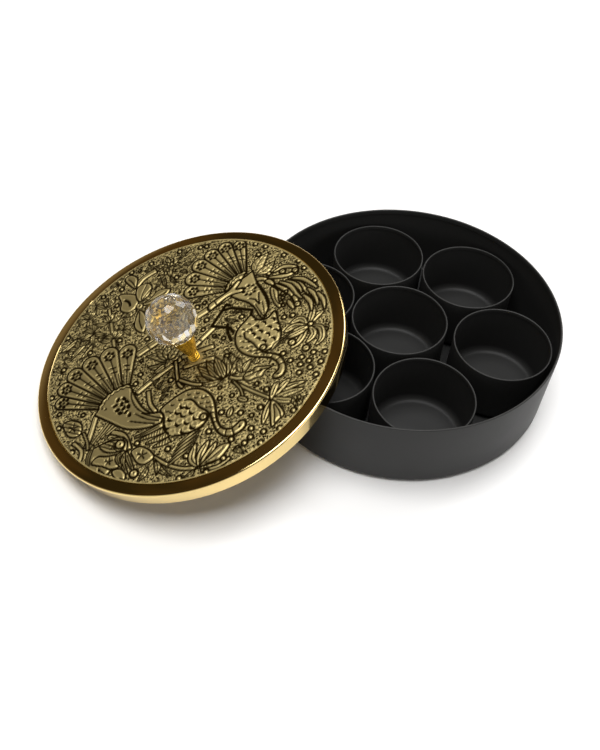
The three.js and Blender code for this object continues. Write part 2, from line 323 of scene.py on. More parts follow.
def polished_gold(name, gold, dullest, brightest=0.05, metallic=1.0):
    """Bright plating with a very fine unevenness and a few duller places."""
    finish = new_finish(name)
    haze = finish.noise(14, 4, 0.6)
    specks = finish.noise(900, 2)
    return finish.surface(
        Base_Color=finish.blend(haze, gold, toned(gold, 0.84)),
        Metallic=metallic,
        Roughness=brightest + dullest * finish.ramp(haze, (0.4, 0.0), (0.75, 1.0)),
        Normal=finish.bump(specks, 0.000004, 0.4),
    )


def antique_gold(name, raised, sunken):
    """Rubbed gold on the raised parts, dark patina in the grooves and in the stipple's pits."""
    finish = new_finish(name)
    tone = finish.reading("tone")
    ground = finish.reading("ground")
    rough_edge = finish.noise(1500, 2)
    pits = finish.ramp(finish.grains(700) + 0.3 * rough_edge, (0.52, 1.0), (0.7, 0.0))
    grain = finish.ramp(finish.noise(700, 2), (0.42, 0.0), (0.58, 1.0))
    patina = finish.ramp(finish.noise(28, 5, 0.65), (0.25, 0.8), (0.7, 1.0))
    stippled = 1 + ground * (1.3 * grain - 0.45 - pits)
    light = tone * stippled * patina
    return finish.surface(
        Base_Color=finish.blend(light, sunken, raised),
        Metallic=1 - 0.65 * light,
        Roughness=0.5 - 0.14 * light,
        Normal=finish.bump(ground * (1 - pits) + 0.1 * finish.noise(2500, 1), 0.0002, 0.7),
    )


def cut_crystal(name, tint, painted_dark_facets, painted_warm_facets, painted_cool_facets):
    """Crystal with faint smears, each facet clear, darker, warm or cool by the way it faces: the tinted
    facets are painted reflection, standing in for the gold and the studio seen in and through the facets.
    """
    finish = new_finish(name)
    facet = finish.facing()
    dark = finish.ramp(finish.noise(5, 1, 0.5, facet), (0.42, 0.0), (0.6, 1.0))
    warm = finish.ramp(finish.noise(6.5, 1, 0.5, facet), (0.53, 0.0), (0.58, 1.0))
    cool = finish.ramp(finish.noise(8, 1, 0.5, facet), (0.58, 0.0), (0.66, 1.0))
    smears = finish.noise(60, 3)
    clear = finish.blend(dark, tint, painted_dark_facets)
    return finish.surface(
        Base_Color=finish.blend(cool, finish.blend(warm, clear, painted_warm_facets), painted_cool_facets),
        Transmission_Weight=0.93,
        IOR=1.54,
        Roughness=0.06 + 0.02 * finish.ramp(smears, (0.5, 0.0), (0.8, 1.0)),
    )


def zinc_plate(name, zinc):
    """Plated steel with a fine mottle."""
    finish = new_finish(name)
    mottle = finish.noise(400, 3)
    return finish.surface(
        Base_Color=finish.blend(mottle, zinc, toned(zinc, 0.75)),
        Metallic=1.0,
        Roughness=0.3 + 0.15 * mottle,
    )


# Meshes


def arc(centre, radius, start, end, steps):
    """Points of a profile on an arc, angles in degrees, 0 outward and 90 up."""
    turns = np.radians(np.linspace(start, end, steps + 1))
    return [(centre[0] + radius * math.cos(turn), centre[1] + radius * math.sin(turn)) for turn in turns]


def new_piece(name, points, faces, material, place=None, crease=40):
    """A mesh whose points are moved to their place, so that the object stays at the origin."""
    mesh = bpy.data.meshes.new(name)
    mesh.from_pydata(points, [], faces)
    mesh.materials.append(material)
    mesh.polygons.foreach_set("use_smooth", [True] * len(mesh.polygons))
    if place:
        mesh.transform(place)
    mesh.set_sharp_from_angle(angle=math.radians(crease))
    piece = bpy.data.objects.new(name, mesh)
    bpy.context.collection.objects.link(piece)
    return piece


def spun(name, profile, material, steps, place=None):
    """A profile of radius and height turned about the Z axis. Points on the axis are shared."""
    on_axis = 1e-9
    turns = np.linspace(0, 2 * math.pi, steps, endpoint=False)
    points, rings = [], []
    for radius, height in profile:
        if radius < on_axis:
            rings.append([len(points)] * steps)
            points.append((0, 0, height))
        else:
            rings.append(list(range(len(points), len(points) + steps)))
            points.extend(zip(radius * np.cos(turns), radius * np.sin(turns), np.full(steps, height)))
    faces = []
    for ring, following in zip(rings, rings[1:]):
        for i in range(steps):
            j = (i + 1) % steps
            corners = [ring[i], ring[j], following[j], following[i]]
            faces.append(list(dict.fromkeys(corners)))
    return new_piece(name, points, faces, material, place)


def keep_reading(piece, name, values):
    """Keeps a value on each point for the piece's material."""
    layer = piece.data.attributes.new(name, "FLOAT", "POINT")
    layer.data.foreach_set("value", np.asarray(values, np.float32))


def vessel(name, sizes, material, steps, place=None):
    """A pressed round vessel. Its edge reading is 1 on the top of the hem, where the coat is painted lighter
    for wear and as a painted highlight, and fades out below.
    """
    corner = (sizes.radius - sizes.corner, sizes.corner)
    rim = (sizes.radius - sizes.hem / 2, sizes.height - sizes.hem / 2)
    under_hem = sizes.height - sizes.hem_depth
    corner_steps, hem_steps = 8, 12
    profile = [
        (0, 0),
        *arc(corner, sizes.corner, -90, 0, corner_steps),
        (sizes.radius, (sizes.corner + rim[1]) / 2),
        *arc(rim, sizes.hem / 2, 0, 180, hem_steps),
        (sizes.radius - sizes.hem, under_hem),
        (sizes.radius - sizes.sheet, under_hem - (sizes.hem - sizes.sheet)),
        *arc(corner, sizes.corner - sizes.sheet, 0, -90, corner_steps),
        (0, sizes.sheet),
    ]
    piece = spun(name, profile, material, steps, place)
    floor = place.translation.z if place else 0
    heights = np.array([point.co.z for point in piece.data.vertices]) - floor
    keep_reading(piece, "edge", np.clip(6 * (heights - rim[1]) / sizes.hem - 2, 0, 1))
    return piece


def knob_place():
    """The knob's axis: its origin is level with the top of the rim band, and Z is along the axis."""
    lid, knob = bpy.context.scene.spice_lid, bpy.context.scene.spice_knob
    lean = Matrix.Rotation(-lid.lean, 4, "Y")
    washer_middle = -lid.recess - lid.sheet - SEAT_GAP - knob.washer / 2
    return Matrix.Translation(middle_of("knob_washer")) @ lean @ Matrix.Translation((0, 0, -washer_middle))


def lid_place():
    """The lid's own frame: on its axis, level with the top of the rim band."""
    knob = bpy.context.scene.spice_knob
    return knob_place() @ Matrix.Translation((-knob.up_slope, knob.towards_front, 0))


# Drawing tools for the embossed pattern, in millimetres: X runs up the slope and Y away from the front

CURVE_STEPS = 7

# How grooves and figures change across their edges
GROOVE_SPILL = 0.3
GROOVE_SIDE = 0.4
SHOULDER = 0.9
RUBBED_AT = 0.6
RUBBED_HALF_WIDTH = 0.55

# Beads of a greater radius have a hollow in their middle
LARGE_BEAD = 1.8


def curve(*points, closed=False):
    """A smooth path through the points."""
    points = np.array(points, float)
    lead, follow = (points[-1:], points[:2]) if closed else (points[:1], points[-1:])
    chain = np.vstack([lead, points, follow])
    share = np.linspace(0, 1, CURVE_STEPS, endpoint=False)[:, None]
    path = []
    for before, start, end, after in zip(chain, chain[1:], chain[2:], chain[3:]):
        bend = (end - before) * share
        ease = (2 * before - 5 * start + 4 * end - after) * share**2
        turn = (3 * start - before - 3 * end + after) * share**3
        path.append(0.5 * (2 * start + bend + ease + turn))
    return np.vstack([*path, follow[:1]])


def ray(angle, reach):
    """A step of some length, in a direction given in degrees."""
    return reach * np.array([math.cos(math.radians(angle)), math.sin(math.radians(angle))])


def circle(centre, radius, steps=16):
    return np.array(centre, float) + np.array([ray(turn, radius) for turn in np.arange(0, 360, 360 / steps)])


def ribbon(path, *widths):
    """The outline of a band along a path, with widths spread evenly from its start to its end."""
    ahead = np.gradient(path, axis=0)
    ahead /= np.linalg.norm(ahead, axis=1)[:, None]
    side = np.stack([-ahead[:, 1], ahead[:, 0]], 1)
    half = np.interp(np.linspace(0, 1, len(path)), np.linspace(0, 1, len(widths)), widths)[:, None] / 2
    return np.vstack([path + side * half, (path - side * half)[::-1]])


def distance_to(at, path):
    """How far each point lies from a path."""
    nearest = np.full(len(at), np.inf)
    for start, end in zip(path, path[1:]):
        run = end - start
        share = np.clip((at - start) @ run / max(run @ run, 1e-12), 0, 1)
        gap = at - start - share[:, None] * run
        nearest = np.minimum(nearest, np.einsum("ij,ij->i", gap, gap))
    return np.sqrt(nearest)


def within(at, outline):
    """Whether each point lies inside a closed outline."""
    inside = np.zeros(len(at), bool)
    for (x1, y1), (x2, y2) in zip(outline, np.roll(outline, -1, axis=0)):
        if y1 != y2:
            crosses = (at[:, 1] > y1) != (at[:, 1] > y2)
            inside ^= crosses & (at[:, 0] < x1 + (at[:, 1] - y1) / (y2 - y1) * (x2 - x1))
    return inside


def groove_depth(gap, width):
    """How deep a groove of some width is at a distance from its middle, from 0 to 1."""
    return np.clip((width / 2 + GROOVE_SPILL - gap) / GROOVE_SIDE, 0, 1)


class Relief:
    """A pattern in low relief: each figure covers what was drawn before it and has a dark outline.

    For each point of the sheet it holds a height, a groove's depth, how bright the point is rubbed, and
    whether it is bare ground, all from 0 to 1.
    """

    def __init__(self, at):
        self.at = at
        self.height = np.zeros(len(at))
        self.groove = np.zeros(len(at))
        self.rubbed = np.zeros(len(at))
        self.ground = np.ones(len(at))

    def near(self, path, reach):
        """Which points lie in the box round a path, or within reach of it."""
        low, high = path.min(0) - reach, path.max(0) + reach
        return np.flatnonzero(((self.at > low) & (self.at < high)).all(1))

    def figure(self, outline, line):
        """A raised area with a groove round it and a rubbed edge inside that. Returns what it covers."""
        near = self.near(outline, line + 1)
        at = self.at[near]
        gap = distance_to(at, np.vstack([outline, outline[:1]]))
        inside = within(at, outline)
        held, depth = near[inside], gap[inside] - line / 2
        self.height[held] = np.clip(depth / SHOULDER, 0, 1)
        self.rubbed[held] = np.clip(1 - np.abs(depth - RUBBED_AT) / RUBBED_HALF_WIDTH, 0, 1)
        self.groove[held] = groove_depth(gap[inside], line)
        self.ground[held] = 0
        outer = near[~inside]
        self.groove[outer] = np.maximum(self.groove[outer], groove_depth(gap[~inside], line))
        return held

    def cut(self, path, width, held=None, depth=1.0):
        """An engraved line."""
        path = np.asarray(path, float)
        near = self.near(path, width + 1)
        if held is not None:
            near = np.intersect1d(near, held)
        gap = distance_to(self.at[near], path)
        self.groove[near] = np.maximum(self.groove[near], depth * groove_depth(gap, width))

    def cuts(self, *paths, width=0.7, held=None):
        """Engraved curves, each through some points."""
        for path in paths:
            self.cut(curve(*path), width, held)

    def dot(self, centre, radius, held=None):
        """An engraved dot."""
        self.cut([centre, np.array(centre) + 0.01], 2 * radius, held)

    def sink(self, outline):
        """A dark hollow."""
        near = self.near(outline, 0.5)
        held = near[within(self.at[near], outline)]
        self.groove[held] = 1
        self.height[held] = 0

    def hatch(self, held, angle, pitch):
        """Engraved lines side by side over the points held."""
        line, depth = 0.55, 0.95
        across = self.at[held] @ ray(angle + 90, 1)
        gap = np.abs(across / pitch - np.round(across / pitch)) * pitch
        self.groove[held] = np.maximum(self.groove[held], depth * groove_depth(gap, line))

    def scale(self, tip, angle, held):
        """A light scale with a dark hollow beyond its tip."""
        tip, radius = np.array(tip, float), 2.3
        half_edge, edge_rubbed = 0.5, 0.9
        near = np.intersect1d(self.near(circle(tip, 2 * radius), 0), held)
        at = self.at[near]
        reach = np.linalg.norm(at - tip + ray(angle, radius), axis=1) - radius
        beyond = np.linalg.norm(at - tip + ray(angle, 0.1 * radius), axis=1) - 0.95 * radius
        self.groove[near[reach < 0]] = 0
        on_edge = np.abs(reach + half_edge) < half_edge
        self.rubbed[near] = np.where(on_edge, edge_rubbed, self.rubbed[near])
        hollow = near[(reach > 0) & (beyond < 0)]
        self.groove[hollow] = 1
        self.height[hollow] = 0

    def brighten(self, outline, share):
        """Makes the figures inside an outline brighter."""
        near = self.near(outline, 0)
        held = near[within(self.at[near], outline) & (self.ground[near] == 0)]
        self.rubbed[held] = np.maximum(self.rubbed[held], share)

    def bead(self, centre, radius):
        """A small raised bead with a groove round it, and with a hollow in its middle where it is large."""
        line, rubbed = 1.4, 0.75
        held = self.figure(circle(centre, 0.85 * radius + 0.5), line)
        self.rubbed[held] = np.maximum(self.rubbed[held], rubbed)
        if radius > LARGE_BEAD:
            self.dot(centre, radius * 0.25, held)

    def free(self, centre, reach):
        """Whether nothing has been drawn near a place."""
        near = self.near(circle(centre, reach), 0)
        return len(near) > 0 and self.ground[near].min() > 0 and self.groove[near].max() < 0.1


def leaf(relief, base, tip, width, bend=0.0, veins=3, line=0.8, hatched=False):
    """A pointed leaf, with a midrib and slanting veins or with hatching."""
    base, tip = np.array(base, float), np.array(tip, float)
    run = tip - base
    side = np.array([-run[1], run[0]]) / np.linalg.norm(run)
    steps = 12
    share = np.linspace(0, 1, steps + 1)
    spine = base + share[:, None] * run + (np.sin(share * math.pi) * bend)[:, None] * side
    half = width / 2 * np.sin(share**0.8 * math.pi)[:, None] * side
    held = relief.figure(np.vstack([spine + half, (spine - half)[::-1]]), line)
    if hatched:
        relief.hatch(held, math.degrees(math.atan2(run[1], run[0])), 1.5)
        return
    relief.cut(spine[1:-2], 0.5, held)
    for vein in range(1, veins + 1):
        place = int(round(vein * (steps - 1) / (veins + 1)))
        for way in (1, -1):
            end = spine[min(place + 2, steps)] + way * half[place] * 0.8
            relief.cut([spine[place], end], 0.4, held, 0.8)


def leaves(relief, width, *strokes, **kind):
    """Leaves given as base, tip and how far each bends to its left."""
    for base, tip, bend in strokes:
        leaf(relief, base, tip, width, bend, **kind)


def blades(relief, widths, line, *paths, split=True):
    """Long curling blades that share their widths, as a rule split along the middle."""
    for points in paths:
        path = curve(*points)
        held = relief.figure(ribbon(path, *widths), line)
        if split:
            relief.cut(path[3:-3], 0.65, held)


def branch(relief, width, joints, *points):
    """A branch seen as two lines, with joints across it at some shares of its length."""
    path = curve(*points)
    held = relief.figure(ribbon(path, width, width), 1)
    for joint in joints:
        place = int(joint * (len(path) - 2))
        run = path[place + 1] - path[place]
        side = np.array([-run[1], run[0]]) / np.linalg.norm(run) * width / 2
        relief.cut([path[place] - side, path[place] + side], 0.6, held)


def flower(relief, centre, reach, petals, line=0.8):
    """An open flower: pointed petals with a groove down each, round a core."""
    centre = np.array(centre, float)
    spread = 360 / petals
    share = np.linspace(0, 1, 11)[:, None]
    for petal in range(petals):
        out, side = ray(petal * spread, 1), ray(petal * spread + 90, 1)
        half = reach * math.sin(math.radians(spread / 2)) * 0.85 * np.sin(share**0.9 * math.pi)
        spine = centre + out * reach * (0.15 + 0.85 * share)
        held = relief.figure(np.vstack([spine + side * half, (spine - side * half)[::-1]]), line)
        relief.cut(spine[3:8], 0.5, held)
    relief.figure(circle(centre, reach * 0.24), line)
    relief.dot(centre, 0.5)


def scallop(relief, *points, line=1.1, star=False):
    """A broad petal with a wavy edge, and with a dark star in its middle if asked. Returns what it covers."""
    outline = curve(*points, closed=True)
    held = relief.figure(outline, line)
    if star:
        middle = outline.mean(0)
        reach = np.linalg.norm(outline - middle, axis=1).min() * 0.62
        for turn in range(0, 360, 72):
            relief.cut([middle + ray(turn, reach * 0.25), middle + ray(turn, reach)], 0.9, held)
    return held


def feather(relief, hub, start, end, foot, reach):
    """One tail feather of a fan, with a blossom near its tip on a crossed stem."""
    angle, half = (start + end) / 2, abs(end - start) / 2
    lean = math.tan(math.radians(half))
    shoulder = reach / (1 + lean)
    cap = hub + ray(angle, shoulder)
    outline = [hub + ray(angle - half, foot), hub + ray(angle - half, shoulder)]
    outline += [cap + ray(angle + turn, shoulder * lean) for turn in np.linspace(-75, 75, 9)]
    outline += [hub + ray(angle + half, shoulder), hub + ray(angle + half, foot)]
    held = relief.figure(np.array(outline), 1.3)
    eye = hub + ray(angle, shoulder - 1.5)
    relief.dot(eye, 0.9, held)
    for turn in range(0, 360, 60):
        relief.dot(eye + ray(angle + turn, 2.9), 1.3, held)
    relief.cut([hub + ray(angle, foot), eye - ray(angle, 3)], 0.8, held)
    for beside in (-0.55, 0.55):
        turn = angle + beside * half
        relief.cut([hub + ray(turn, foot), hub + ray(turn, foot + 0.42 * (shoulder - foot))], 0.5, held)
    for share in (0.5, 0.62):
        cross = hub + ray(angle, foot + share * (shoulder - foot))
        relief.cut([cross - ray(angle + 70, 1.8), cross + ray(angle + 70, 1.8)], 1, held)


def fan(relief, hub, angles, reaches, foot):
    """A spread tail. Returns the wavy line at the feathers' feet."""
    hub = np.array(hub, float)
    edges = [(one + other) / 2 for one, other in zip(angles, angles[1:])]
    edges = [2 * angles[0] - edges[0], *edges, 2 * angles[-1] - edges[-1]]
    for start, end, reach in zip(edges, edges[1:], reaches):
        feather(relief, hub, start, end, foot - 2, reach)
    steps = 60
    turns = np.linspace(edges[0], edges[-1], steps)
    waves = foot + 0.8 * np.abs(np.sin(np.radians(np.linspace(0, 180 * len(angles), steps))))
    return np.array([hub + ray(turn, reach) for turn, reach in zip(turns, waves)])


def second_line(path, hub, apart):
    """A line beside another, nearer the hub."""
    away = path - np.array(hub, float)
    return path - away / np.linalg.norm(away, axis=1)[:, None] * apart


def bird(relief, outline, wing, fold, angle, scales, nicks, joints, eye):
    """A bird's body, neck and head in one outline, with a scaled wing beside the neck's inner line."""
    held = relief.figure(curve(*outline, closed=True), 1.5)
    for tip in scales:
        relief.scale(tip, angle, held)
    relief.cut(curve(*wing), 1.3, held)
    for spot in nicks:
        start, middle, end = (np.array(spot) + ray(angle + turn, 1.2) for turn in (85, 20, -45))
        relief.cut([start, middle, end], 0.75, held)
    for joint in joints:
        relief.cut(joint, 0.9, held)
    relief.dot(eye, 0.8, held)
    relief.cut(curve(*fold), 0.3, held, 0.5)


# The embossed pattern: two fan-tailed birds among flowering branches


def draw_branches(relief):
    """Branches, each with its width, the places of its joints and its points."""
    branches = (
        (3.6, (0.2, 0.45, 0.85), (-36, -21), (-20, -13), (-6, -7), (8, 1.5), (21, 10)),
        (5, (0.15, 0.3, 0.7, 0.85), (-33, 9.5), (-15, 16), (10, 23.5), (26, 29), (36, 32.5)),
        (2.6, (), (-48, 60), (-47.5, 42), (-47, 22)),
        (2, (), (-70, 40), (-58, 38), (-48, 33)),
        (4.5, (), (-28, 70), (-21, 77), (-11, 80)),
        (3.6, (), (-4, -5.5), (8, -5.5), (18, -5.5)),
        (3.4, (), (-4, -14), (8, -14), (17, -15)),
        (2.6, (), (23, -33.5), (27, -36.5), (32, -38)),
        (2.4, (), (24, -37), (33, -48), (44.5, -60)),
        (1.8, (), (25, -38), (28, -45), (28.5, -51)),
        (3.6, (), (-71, -48), (-67, -38), (-63, -27)),
        (2.8, (), (-79, -41), (-74, -49), (-76, -57)),
        (3.4, (), (-54, -43), (-46.5, -49), (-44, -60)),
        (2.6, (), (-31, -70), (-22, -80), (-13, -86), (-4, -88)),
        (2.2, (), (-4, -91), (6, -92), (14, -89)),
        (3, (), (-28, -22), (-28, -32), (-25, -40)),
        (2, (), (-72, -36), (-70, -44), (-70, -50)),
        (2.2, (), (24, -12), (27, -22), (26, -33)),
    )
    for width, joints, *points in branches:
        branch(relief, width, joints, *points)


def draw_left_top(relief):
    """The blossom above the left fan, and the tufts of leaves beside it."""
    tufts = (
        ((-60, 43), 13, (95, 120, 150, 178, 205, 235, 265, 300, 330)),
        ((-72, 33), 12, (110, 140, 170, 200, 345)),
        ((-63, 57), 11, (60, 95, 130, 160, 200)),
        ((-50, 62), 11, (45, 75, 105, 135)),
        ((-49, 47), 12, (20, 50, 110, 160)),
        ((-47, 31), 11, (35, 60, 145, 165)),
        ((-40, 36), 9, (20, 70, 120, 300)),
        ((-40, 80), 8, (0, 40, 180, 220)),
        ((-84, 18), 9, (80, 110, 260)),
    )
    for base, reach, angles in tufts:
        for number, angle in enumerate(angles):
            tip = np.array(base) + ray(angle, reach * (1 - 0.12 * (number % 3)))
            leaf(relief, base, tip, 3.2, bend=1.2 if number % 2 else -1.2, veins=0, line=0.6)
    hatched = (((-66, 35), (-78, 25), -2), ((-62, 34), (-72, 24), 2), ((-72, 44), (-86, 36), 2))
    leaves(relief, 4.5, *hatched, hatched=True)
    scallop(relief, (-40, 69), (-39, 61), (-40, 54), (-34, 49.5), (-28, 53), (-26.5, 61), (-32, 66.5))
    relief.cut(curve((-36, 62), (-33.5, 59), (-33, 55.5)), 1.8)
    scallop(relief, (-26, 56), (-28, 63), (-26, 70), (-19, 71), (-16, 66), (-19, 59))
    relief.cuts(((-25, 57), (-23, 63), (-19, 70)), ((-24, 57), (-20, 61), (-17, 64)))
    scallop(relief, (-25, 52), (-18, 55.5), (-12, 60), (-3.5, 57.5), (-8, 52), (-17, 50))
    relief.cuts(((-22, 52.5), (-15, 54), (-7, 56)), width=0.9)
    scallop(relief, (-27, 48), (-31, 40), (-31.5, 33), (-26.5, 27), (-23, 34), (-23.5, 43))
    relief.cuts(((-27, 46), (-28, 39), (-27, 31)), width=0.9)
    leaves(relief, 4.2, ((-28, 50), (-40, 47), 1), ((-23, 49), (-17, 42), 1))
    scallop(relief, (-34.5, 82), (-30, 84.5), (-25.5, 80), (-26, 74), (-28, 70), (-31, 74))
    relief.cuts(((-32, 81), (-29.5, 77), (-28, 72)))
    relief.figure(circle((-26.5, 52), 2.6), 0.8)
    relief.dot((-26.5, 52), 0.8)


def draw_top(relief):
    """The dark blossom near the top edge, with the leaves round it."""
    centre = (-2, 79)
    for number, angle in enumerate(range(-60, 300, 30)):
        tip = np.array(centre) + ray(angle, 11 if number % 2 else 8.5)
        leaf(relief, centre, tip, 4, veins=0, hatched=number % 2 == 0)
    flower(relief, centre, 5, petals=7, line=0.7)
    below = (
        ((-9, 72), (-15, 62), 1), ((-6, 70), (-6, 60), -1), ((-2, 69), (2, 61), -1), ((5, 71), (10, 66), 1),
    )
    leaves(relief, 3, *below)
    leaves(relief, 3.2, ((-12, 84), (-20, 84), 1), ((8, 76), (16, 76), -1), ((7, 83), (14, 87), 1))


def draw_gaps(relief):
    """Small beads and short leaves on the ground, as far as later figures leave them clear."""
    beads = (
        (58, -30.5), (61, -37.5), (68, -38), (75.5, -37.5), (66, -43), (71.5, -42.5), (64, -48.5),
        (71, -47.5), (73, -54), (55, -73), (45, -81.5), (35.5, -80), (29, -75), (27.5, -80.5), (23.5, -83),
        (19, -85), (32.5, -86.5), (16.5, -77.5), (4.5, -67), (10, -88), (-1, -93), (86.5, -23.5),
        (70, -3.8), (47.3, -21), (39, 10), (24, -17), (16.5, 18), (86, 32), (91.5, 2), (63, 38.5), (76, 50),
        (22.5, 86.5), (7.5, 90), (60, 59), (12, 32), (14, -57), (25, -62), (43, -52), (37, -63), (-79, 47),
        (-37.5, 74), (-29, 87), (-14, 88.5), (-43, 28), (-64, 26.5), (-83, 20), (-88, -26), (-80, -47.5),
        (-39, -57.5), (-21, -69), (-11, -78), (-17, -91), (-13, -20), (-92, 0), (82, -40), (78, -46),
        (60, -76), (20, 60), (2, 66), (60, 70), (66, 64), (84, 40), (90, 18), (-12, 28),
    )
    for spot in beads:
        relief.bead(spot, 1.5)
    tuft = (
        ((-14, -4), (-27, 6), -2), ((-14, -3), (-20, 9), -1), ((-13, -3), (-10, 10), 1),
        ((-12, -4), (-3, 5), 1),
    )
    leaves(relief, 6, *tuft)
    leaves(relief, 5, ((-14, -5), (-27, -3), 2), ((-15, -6), (-24, -10), 1), hatched=True)
    short_leaves = (
        ((-22, -24), (-17, -18), 1), ((-20, -28), (-13, -25), 1), ((-22, -33), (-16, -30), 1),
        ((-24, -20), (-20, -15), 1), ((18, 40), (8, 37), 1), ((36, 8), (28, 14), 1),
        ((40, 14), (33, 16), -1),
    )
    leaves(relief, 2.6, *short_leaves)


def draw_lotus(relief):
    """The big bud in the middle, with hatched petals."""
    petals = (
        ((20, -33), (3, -24), 3), ((20, -33), (5, -17), 1.5), ((21, -33), (27, -15), -3),
        ((20, -33), (11, -15), 1), ((20, -33), (23, -16), -1), ((20, -33), (17, -14), 0),
    )
    leaves(relief, 7.5, *petals, hatched=True, line=1.0)
    leaves(relief, 4.5, ((18, -34), (4, -31), 1.5), ((24, -33), (31, -20), -1))


def draw_lower_right(relief):
    """The leaf, the buds and the open blossom under the right bird, and the drooping flower beside it."""
    buds = (((31, -34), (32, -22), 1), ((32, -34), (39, -26), 1), ((40, -31), (43, -26), 0))
    leaves(relief, 4.6, *buds, hatched=True)
    broad_leaf = (
        (31, -38), (33.5, -35), (37, -35), (40, -33.3), (44, -34.5), (49.5, -36.8), (45, -38.5),
        (42, -41.5), (38, -41), (35, -41.5), (32.5, -40.5),
    )
    scallop(relief, *broad_leaf)
    relief.cuts(((32, -38), (40, -37), (47, -37)), ((37, -37.4), (39, -35)), ((41, -37), (39, -39.5)))
    relief.dot((42.5, -36.8), 1.2)
    blossom = (
        ((44.5, -60), (54, -56), (66, -56)),
        ((44.5, -60), (52, -54), (58, -50.5)),
        ((45, -60.5), (54, -60), (64, -60.5)),
        ((45, -60), (51, -64), (58, -66.5)),
        ((44, -61), (40, -67), (36, -75)),
        ((44, -60), (48, -53), (51, -50)),
    )
    blades(relief, (1.6, 4.2, 4.2, 1.2), 0.9, *blossom)
    scallop(relief, (44.5, -61), (47.5, -65), (49.5, -73), (45, -76), (40.5, -79), (41.5, -70), (42.5, -65))
    relief.cuts(((44.8, -64), (44, -71), (42.5, -77)), ((45.5, -64), (47, -70), (47, -74)))
    flower(relief, (58.5, -67), 4.2, petals=6)
    for centre, turn in (((28, -53), -40), ((19, -59), 60)):
        around = np.linspace(0, 2 * math.pi, 14, endpoint=False)
        bean = [ray(turn, 3.6 * math.cos(way)) + ray(turn + 90, 2 * math.sin(way)) for way in around]
        held = relief.figure(np.array(centre) + np.array(bean), 1.1)
        relief.cut([np.array(centre) - ray(turn, 1.8), np.array(centre) + ray(turn, 1.8)], 0.7, held)
    drooping = (
        ((78, -16), (84, -11), (89, -9)),
        ((78, -15), (82, -8), (84, -2)),
        ((78, -17), (84, -21), (83, -29), (78, -33)),
        ((78, -17), (79, -24), (73, -29)),
        ((77, -17), (70, -25), (63, -29)),
        ((77, -15), (74, -9), (67, -10)),
        ((77, -16), (69, -13), (62, -15)),
    )
    blades(relief, (1.4, 4.4, 4.2, 1.4), 0.9, *drooping)
    cup = scallop(relief, (77.5, -16.5), (72, -14.5), (66, -16), (62.5, -20), (67, -21.5), (74, -20))
    relief.hatch(cup, 8, 1.9)
    for centre, radius in (((65, -24.5), 2.2), ((72, -32.5), 2.2), ((79, -15.5), 1.6)):
        relief.bead(centre, radius)


def draw_lower_left(relief):
    """The blossoms under the left bird and the flower at the bottom."""
    bud = ((-85, -24.5), (-80, -23.5), (-75, -26), (-72.5, -31), (-74, -36.5), (-79, -37), (-83, -33))
    relief.hatch(scallop(relief, *bud, star=True), -35, 2.6)
    for step in range(4):
        stripe = curve((-67 + 3 * step, -47 + step), (-53.5 + step, -33 - 2.4 * step))
        relief.figure(ribbon(stripe, 1.6, 1.6), 0.6)
    blossom = (
        (-72, -66), (-71, -57), (-68, -51.5), (-58, -49), (-50, -48.5), (-45, -53), (-46, -60), (-52, -66),
        (-60, -72), (-66, -70),
    )
    scallop(relief, *blossom)
    heart = ((-62, -50), (-55, -49.5), (-49, -51), (-46.5, -55), (-49, -58.5), (-55, -58), (-60, -55))
    relief.hatch(scallop(relief, *heart, star=True), -35, 2.2)
    relief.bead((-49.5, -54), 3)
    left_petal = (
        (-68, -61), (-64, -57.5), (-58, -59.5), (-50, -61), (-48, -65), (-52, -69.5), (-57, -69),
        (-60.5, -66),
    )
    right_petal = (
        (-43, -62), (-38, -60.5), (-34, -63), (-31, -67), (-30, -71.5), (-36, -74), (-40, -71.5),
        (-42, -67),
    )
    scallop(relief, *left_petal, star=True)
    scallop(relief, *right_petal, star=True)
    scallop(relief, (-56, -71), (-51, -71), (-48, -75), (-49, -79.5), (-54, -77))
    stems = (
        ((-47, -61), (-49, -68), (-47, -76)),
        ((-46, -61), (-45, -68), (-43, -75)),
        ((-47, -60), (-52, -63), (-50, -70)),
        ((-66, -48), (-70, -56), (-71, -66)),
    )
    blades(relief, (1.2, 3, 2.6, 1), 0.9, *stems)
    relief.bead((-43, -77.5), 2.6)
    hanging = (
        ((-30, -72), (-21, -88), -2), ((-29, -74), (-30, -84), 1), ((-34, -76), (-42, -84), 1),
        ((-56, -78), (-48, -84), 1),
    )
    leaves(relief, 4, *hanging)
    bottom_flower = (
        ((-5, -88), (-8, -81), (-4, -72)),
        ((-5, -88), (-2, -80), (4, -73)),
        ((-4, -88), (2, -82), (8, -76)),
    )
    blades(relief, (1.4, 4.6, 4.4, 1.2), 1, *bottom_flower)
    scallop(relief, (-4, -88), (2, -83.5), (9, -79), (15.5, -80), (12, -84.5), (6, -88))
    relief.cuts(((-1, -87), (5, -84.5), (11, -81.5)), ((-3, -88), (2, -87.6), (6, -87)))
    leaves(relief, 3.2, ((-7, -89), (-16, -92), 1), ((16, -85), (22, -90), 1), ((-60, -74), (-64, -66), 1))


